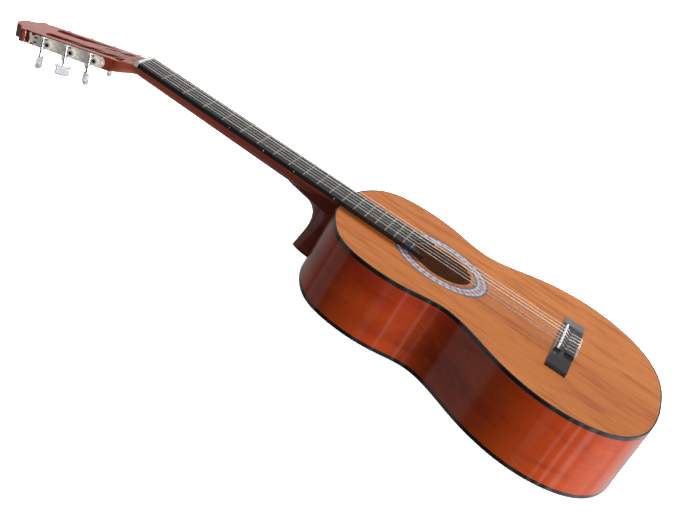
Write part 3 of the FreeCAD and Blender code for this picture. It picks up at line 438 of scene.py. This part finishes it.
# ---------------------------------------------------------------- dress the frame
ALONG_Y = (1.0, 0.06, 1.0)
MATERIALS = {
    "spruce_top": lacquered_wood("spruce_top", SPRUCE, SPRUCE_STREAK, SPRUCE_LIGHT,
                                 (1.0, 0.14, 1.0), 0.10, fine=620.0, streak=75.0),
    "red_mahogany": lacquered_wood("red_mahogany", CHERRY, CHERRY_DEEP, CHERRY_LIGHT,
                                   (0.35, 0.25, 1.0), 0.05, fine=260.0, streak=30.0,
                                   hollow=True),
    "neck_wood": lacquered_wood("neck_wood", NECK_RED, NECK_DEEP, NECK_LIGHT, ALONG_Y, 0.06),
    "raw_wood": raw_wood(),
    "black_binding": gloss_black(),
    "rosette_mosaic": rosette_mosaic(),
    "ebonised_wood": dark_wood("ebonised_wood", 0.38, 0.25, ALONG_Y),
    "bridge_black": dark_wood("bridge_black", 0.24, 0.8, (0.06, 1.0, 1.0)),
    "bone_white": bone(),
    "fret_metal": metal("fret_metal", FRET_GOLD, 0.34, 0.46, metallic=0.6),
    "pearl_dot": pearl_dot(),
    "nickel_plate": stamped_plate(),
    "chrome_steel": metal("chrome_steel", CHROME, 0.16, 0.26, metallic=0.8),
    "roller_white": roller_plastic(),
    "pearl_button": pearl(),
    "string_nylon": string_plain(),
    "string_wound": string_wound(),
}


def dress(piece, material):
    if not piece.data.materials:
        piece.data.materials.append(material)
    for slot in piece.material_slots:
        slot.material = material


for subpart in frame["record"]["subparts"]:
    node = subpart["node"]
    if subpart["material_slot"] == "gear_brass":
        axle = Vector(JOINTS[node.replace("gear_", "roller_") + "_turn"]["pos_m"])
        dress(NODES[node], gear_metal(node + "_metal", axle))
    else:
        dress(NODES[node], MATERIALS[subpart["material_slot"]])


# ---------------------------------------------------------------- stage, light and camera
WORLD_DIM = 0.03
WORLD_PALE = 0.62
WORLD_UPPER = 0.17
# bearing from -X towards +Y in degrees, half width and soft edge in degrees, and strength
LIGHT_STRIPS = (
    (73.0, 26.0, 8.0, 0.30),
    (-13.0, 9.0, 8.0, 0.26),
    (-34.0, 3.2, 3.0, 0.75),
    (-46.0, 3.4, 3.0, 1.25),
    (-61.0, 7.0, 6.0, 1.35),
    (-92.0, 30.0, 20.0, 0.70),
    (-140.0, 30.0, 20.0, 0.45),
)


def build_floor():
    """Pale sweep: a level disc that curves up into a wall far from the guitar."""
    mesh = bpy.data.meshes.new("floor")
    shape = bmesh.new()
    flat = 9.0
    bend = 3.0
    wall = 9.0
    profile = [(0.0, 0.0), (flat, 0.0)]
    for step in range(1, 13):
        angle = math.pi / 2 * step / 12
        profile.append((flat + bend * math.sin(angle), bend - bend * math.cos(angle)))
    profile.append((flat + bend, bend + wall))
    ring_before = None
    steps = 96
    for reach, height in profile:
        if reach == 0.0:
            ring_before = [shape.verts.new((0, 0, height))]
            continue
        ring = []
        for k in range(steps):
            turn = 2 * math.pi * k / steps
            ring.append(shape.verts.new((reach * math.cos(turn), reach * math.sin(turn), height)))
        for k in range(steps):
            after = (k + 1) % steps
            if len(ring_before) == 1:
                shape.faces.new((ring_before[0], ring[k], ring[after]))
            else:
                shape.faces.new((ring_before[k], ring[k], ring[after], ring_before[after]))
        ring_before = ring
    for face in shape.faces:
        face.smooth = True
    shape.to_mesh(mesh)
    shape.free()
    floor = bpy.data.objects.new("floor", mesh)
    bpy.context.scene.collection.objects.link(floor)
    return floor


def floor_material():
    shader = Shader("floor_paint", Roughness=0.9, Emission_Strength=FLOOR_GLOW,
                    Emission_Color=(1.0, 1.0, 1.0, 1.0))
    place = shader.place()
    cloud = shader.noise(place, 1.2, detail=2.0)
    shader.feed("Base Color", shader.mix(cloud, (0.80, 0.80, 0.80, 1.0), (0.83, 0.83, 0.83, 1.0)))
    return shader.material


floor = build_floor()
dress(floor, floor_material())
floor.visible_diffuse = False
floor.visible_glossy = False


CAMERA_PLACE = (-1.6500, -0.2175, 0.7212)
CAMERA_LENS = 70.67            # mm, on a sensor 36 mm wide
CAMERA_HEADING = 84.31         # degrees from +Y towards +X
CAMERA_FALL = 22.89            # degrees below level
CAMERA_ROLL = 32.48


def build_world():
    """Studio surround: pale behind the treble side, dim on the bass side, with tall light strips."""
    world = bpy.data.worlds.new("studio")
    bpy.context.scene.world = world
    world.use_nodes = True
    tree = world.node_tree
    tree.nodes.clear()

    def math_node(operation, *values):
        made = tree.nodes.new("ShaderNodeMath")
        made.operation = operation
        for index, value in enumerate(values):
            if isinstance(value, (int, float)):
                made.inputs[index].default_value = value
            else:
                tree.links.new(value, made.inputs[index])
        return made.outputs[0]

    def ramp(value, low, high, to_low, to_high):
        made = tree.nodes.new("ShaderNodeMapRange")
        made.interpolation_type = "SMOOTHSTEP"
        for name, number in (("From Min", low), ("From Max", high), ("To Min", to_low),
                             ("To Max", to_high)):
            made.inputs[name].default_value = number
        tree.links.new(value, made.inputs["Value"])
        return made.outputs["Result"]

    where = tree.nodes.new("ShaderNodeTexCoord")
    parts = tree.nodes.new("ShaderNodeSeparateXYZ")
    tree.links.new(where.outputs["Generated"], parts.inputs[0])
    x, y, z = (parts.outputs[axis] for axis in "XYZ")
    height = math_node("ABSOLUTE", z)
    level = ramp(height, 0.16, 0.32, WORLD_PALE, WORLD_UPPER)
    facing = ramp(x, -0.10, 0.60, 0.0, 1.0)
    glow = math_node("ADD", math_node("MULTIPLY", facing, level), WORLD_DIM)
    bearing = math_node("ARCTAN2", y, math_node("MULTIPLY", x, -1.0))
    lower = ramp(z, -0.02, -0.14, 0.0, 1.0)
    for middle, half, edge, strength in LIGHT_STRIPS:
        offset = math_node("ABSOLUTE", math_node("SUBTRACT", bearing, math.radians(middle)))
        inner = math.radians(half - edge)
        outer = math.radians(half)
        strip = math_node("MULTIPLY", ramp(offset, outer, inner, 0.0, strength), lower)
        glow = math_node("ADD", glow, strip)
    background = tree.nodes.new("ShaderNodeBackground")
    background.inputs["Color"].default_value = (1.0, 1.0, 1.0, 1.0)
    tree.links.new(glow, background.inputs["Strength"])
    output = tree.nodes.new("ShaderNodeOutputWorld")
    tree.links.new(background.outputs[0], output.inputs["Surface"])


def soft_box(name, place, aim, width, height, power):
    light = bpy.data.lights.new(name, "AREA")
    light.shape = "RECTANGLE"
    light.size = width
    light.size_y = height
    light.energy = power
    box = bpy.data.objects.new(name, light)
    box.location = place
    box.rotation_mode = "QUATERNION"
    box.rotation_quaternion = (Vector(aim) - Vector(place)).to_track_quat("-Z", "Y")
    box.visible_camera = False
    bpy.context.scene.collection.objects.link(box)
    return box


def build_camera():
    """Long lens above the bass side, looking across the soundboard, rolled to the left."""
    data = bpy.data.cameras.new("camera")
    data.lens = CAMERA_LENS
    data.sensor_width = 36.0
    camera = bpy.data.objects.new("camera", data)
    camera.location = CAMERA_PLACE
    heading = math.radians(CAMERA_HEADING)
    fall = math.radians(CAMERA_FALL)
    roll = math.radians(CAMERA_ROLL)
    ahead = Vector((math.sin(heading) * math.cos(fall), math.cos(heading) * math.cos(fall),
                    -math.sin(fall)))
    level = ahead.to_track_quat("-Z", "Y").to_matrix()
    camera.rotation_mode = "QUATERNION"
    camera.rotation_quaternion = (level @ Matrix.Rotation(roll, 3, "Z")).to_quaternion()
    bpy.context.scene.collection.objects.link(camera)
    bpy.context.scene.camera = camera


build_world()
key = soft_box("key_treble", (2.85, -0.60, 1.72), (0.0, -0.2, 0.10), 0.17, 0.17, 205.0)
key.visible_glossy = False
soft_box("side_fill", (-1.25, -2.5, 0.30), (0.0, -0.1, 0.05), 0.9, 0.5, 62.0)
soft_box("overhead", (-0.2, 0.9, 2.6), (0.0, 0.0, 0.05), 1.4, 1.4, 27.0)
build_camera()
bpy.context.scene.view_settings.view_transform = "Standard"
